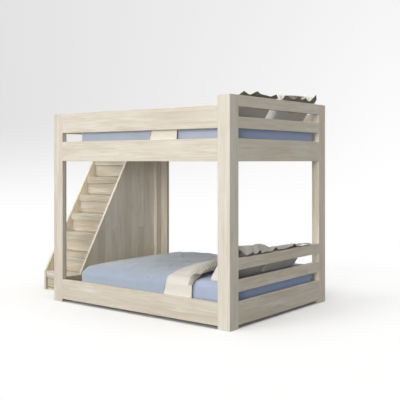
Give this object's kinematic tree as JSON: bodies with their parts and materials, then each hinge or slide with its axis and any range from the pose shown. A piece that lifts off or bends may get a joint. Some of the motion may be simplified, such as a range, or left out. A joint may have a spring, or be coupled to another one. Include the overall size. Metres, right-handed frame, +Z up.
{
  "type": "bunk bed with storage stairs",
  "caption": "Wooden bunk bed on L-shaped posts with slatted platforms, guard boards, bedding, and a flight of drawer stairs across the foot end.",
  "frame": {"origin": "on the floor, under the middle of the outline of bed and stairs", "axes": "+Z up, +X towards the head end, -Y towards the long side that faces the room, stairs at -X climbing towards +Y"},
  "size_m": [2.5232, 1.505, 1.8557],
  "materials": {
    "posts": "pale limed oak, matt lacquer",
    "rails": "pale limed oak, matt lacquer",
    "slats": "planed pine, unfinished",
    "treads": "pale limed oak, matt lacquer",
    "stair_panels": "edge-glued pale oak staves, matt lacquer",
    "drawer_fronts": "pale limed oak, matt lacquer",
    "drawer_boxes": "sanded birch ply, clear sealed",
    "mattress_cover": "blue cotton fitted sheet",
    "duvet_cotton": "light blue cotton percale",
    "fleece_lining": "cream fleece, short curled pile",
    "pillow_cotton": "off-white washed cotton",
    "pillow_ruffle": "greige linen ruffle"
  },
  "bodies": {
    "bed": {"post_head_near": "posts", "post_head_far": "posts", "post_foot_near": "posts", "post_foot_far": "posts", "lower_side_rail_near": "rails", "lower_side_rail_far": "rails", "lower_head_rail": "rails", "lower_head_mid_rail": "rails", "lower_head_top_rail": "rails", "lower_foot_rail": "rails", "upper_side_rail_near": "rails", "upper_side_rail_far": "rails", "upper_head_rail": "rails", "upper_head_mid_rail": "rails", "upper_head_top_rail": "rails", "upper_foot_rail": "rails", "upper_guard_near": "rails", "upper_guard_far": "rails", "upper_foot_guard": "rails", "lower_cleat_near": "slats", "lower_cleat_far": "slats", "lower_centre_beam": "slats", "lower_slat_roll": "slats", "upper_cleat_near": "slats", "upper_cleat_far": "slats", "upper_centre_beam": "slats", "upper_slat_roll": "slats", "stair_side_panel_inner": "stair_panels", "stair_side_panel_outer": "stair_panels", "stair_back_panel": "stair_panels", "stair_tread_1": "treads", "stair_tread_2": "treads", "stair_tread_3": "treads", "stair_tread_4": "treads", "stair_tread_5": "treads", "stair_tread_6": "treads", "stair_landing": "treads", "stair_bottom_shelf": "treads", "lower_mattress": "mattress_cover", "upper_mattress": "mattress_cover", "lower_duvet": "duvet_cotton", "upper_duvet": "duvet_cotton", "lower_pillow_near": "pillow_cotton", "lower_pillow_far": "pillow_cotton", "upper_pillow_near": "pillow_cotton", "upper_pillow_far": "pillow_cotton"},
    "drawer_1": {"drawer_box_1": "drawer_boxes", "drawer_front_1": "drawer_fronts"},
    "drawer_2": {"drawer_box_2": "drawer_boxes", "drawer_front_2": "drawer_fronts"},
    "drawer_3": {"drawer_box_3": "drawer_boxes", "drawer_front_3": "drawer_fronts"},
    "drawer_4": {"drawer_box_4": "drawer_boxes", "drawer_front_4": "drawer_fronts"},
    "drawer_5": {"drawer_box_5": "drawer_boxes", "drawer_front_5": "drawer_fronts"},
    "drawer_6": {"drawer_box_6": "drawer_boxes", "drawer_front_6": "drawer_fronts"},
    "drawer_7": {"drawer_box_7": "drawer_boxes", "drawer_front_7": "drawer_fronts"}
  },
  "joints": [
    {"name": "drawer_1_slide", "type": "slide", "parent": "bed", "child": "drawer_1", "axis": [0, -1, 0], "range_m": [0, 0.3]},
    {"name": "drawer_2_slide", "type": "slide", "parent": "bed", "child": "drawer_2", "axis": [0, -1, 0], "range_m": [0, 0.3]},
    {"name": "drawer_3_slide", "type": "slide", "parent": "bed", "child": "drawer_3", "axis": [0, -1, 0], "range_m": [0, 0.3]},
    {"name": "drawer_4_slide", "type": "slide", "parent": "bed", "child": "drawer_4", "axis": [0, -1, 0], "range_m": [0, 0.3]},
    {"name": "drawer_5_slide", "type": "slide", "parent": "bed", "child": "drawer_5", "axis": [0, -1, 0], "range_m": [0, 0.3]},
    {"name": "drawer_6_slide", "type": "slide", "parent": "bed", "child": "drawer_6", "axis": [0, -1, 0], "range_m": [0, 0.3]},
    {"name": "drawer_7_slide", "type": "slide", "parent": "bed", "child": "drawer_7", "axis": [0, -1, 0], "range_m": [0, 0.3]}
  ]
}
